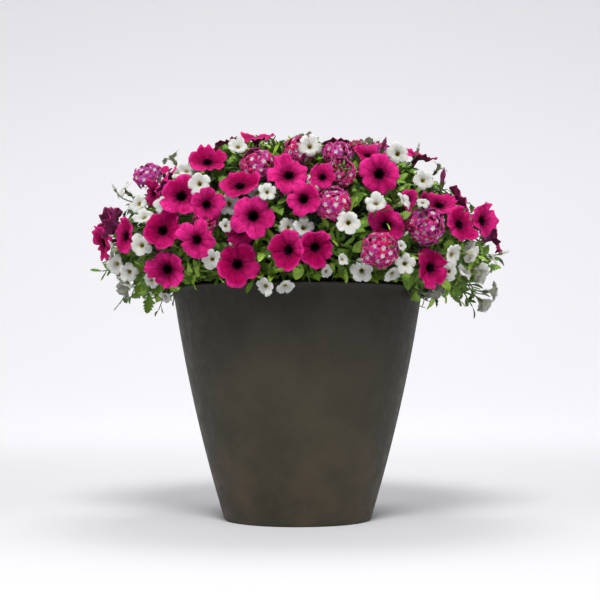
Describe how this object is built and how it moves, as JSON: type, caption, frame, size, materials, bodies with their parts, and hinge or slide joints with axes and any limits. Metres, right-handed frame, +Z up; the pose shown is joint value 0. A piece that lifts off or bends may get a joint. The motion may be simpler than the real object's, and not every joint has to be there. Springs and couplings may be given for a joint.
{
  "type": "planted flower pot",
  "caption": "Round tapered planter standing on its foot, filled with a dense mound of petunias, small white trumpet flowers, verbena heads and green leaves.",
  "frame": {"origin": "centre of the pot's flat underside, on the floor", "axes": "+Z up along the pot's axis, -Y towards the front of the planting, +X to the right seen from the front"},
  "size_m": [0.507, 0.4247, 0.4723],
  "materials": {
    "pot": "matt grey-brown with a faint cloudy patina, a little paler at its sides and rim",
    "soil": "dark crumbly potting soil",
    "foliage": "soft mid to dark green leaves with paler veins",
    "petunia": "velvety magenta petals with a dark throat and dark veins",
    "calibrachoa": "soft white petals with a yellow throat",
    "verbena": "magenta to pink florets with white eyes"
  },
  "bodies": {
    "root": {"calibrachoa_spray_01": "calibrachoa", "calibrachoa_spray_02": "calibrachoa", "calibrachoa_spray_03": "calibrachoa", "calibrachoa_spray_04": "calibrachoa", "calibrachoa_spray_05": "calibrachoa", "calibrachoa_spray_06": "calibrachoa", "calibrachoa_spray_07": "calibrachoa", "calibrachoa_spray_08": "calibrachoa", "calibrachoa_spray_09": "calibrachoa", "calibrachoa_spray_10": "calibrachoa", "calibrachoa_spray_11": "calibrachoa", "calibrachoa_spray_12": "calibrachoa", "calibrachoa_spray_13": "calibrachoa", "calibrachoa_spray_14": "calibrachoa", "calibrachoa_spray_15": "calibrachoa", "calibrachoa_spray_16": "calibrachoa", "calibrachoa_spray_17": "calibrachoa", "calibrachoa_spray_18": "calibrachoa", "calibrachoa_spray_19": "calibrachoa", "calibrachoa_spray_20": "calibrachoa", "calibrachoa_spray_21": "calibrachoa", "calibrachoa_spray_22": "calibrachoa", "calibrachoa_spray_23": "calibrachoa", "foliage": "foliage", "petunia_spray_01": "petunia", "petunia_spray_02": "petunia", "petunia_spray_03": "petunia", "petunia_spray_04": "petunia", "petunia_spray_05": "petunia", "petunia_spray_06": "petunia", "petunia_spray_07": "petunia", "petunia_spray_08": "petunia", "petunia_spray_09": "petunia", "petunia_spray_10": "petunia", "petunia_spray_11": "petunia", "petunia_spray_12": "petunia", "petunia_spray_13": "petunia", "petunia_spray_14": "petunia", "petunia_spray_15": "petunia", "petunia_spray_16": "petunia", "petunia_spray_17": "petunia", "petunia_spray_18": "petunia", "petunia_spray_19": "petunia", "pot": "pot", "soil": "soil", "verbena_spray_01": "verbena", "verbena_spray_02": "verbena", "verbena_spray_03": "verbena", "verbena_spray_04": "verbena", "verbena_spray_05": "verbena", "verbena_spray_06": "verbena", "verbena_spray_07": "verbena", "verbena_spray_08": "verbena", "verbena_spray_09": "verbena", "verbena_spray_10": "verbena", "verbena_spray_11": "verbena"}
  },
  "joints": []
}
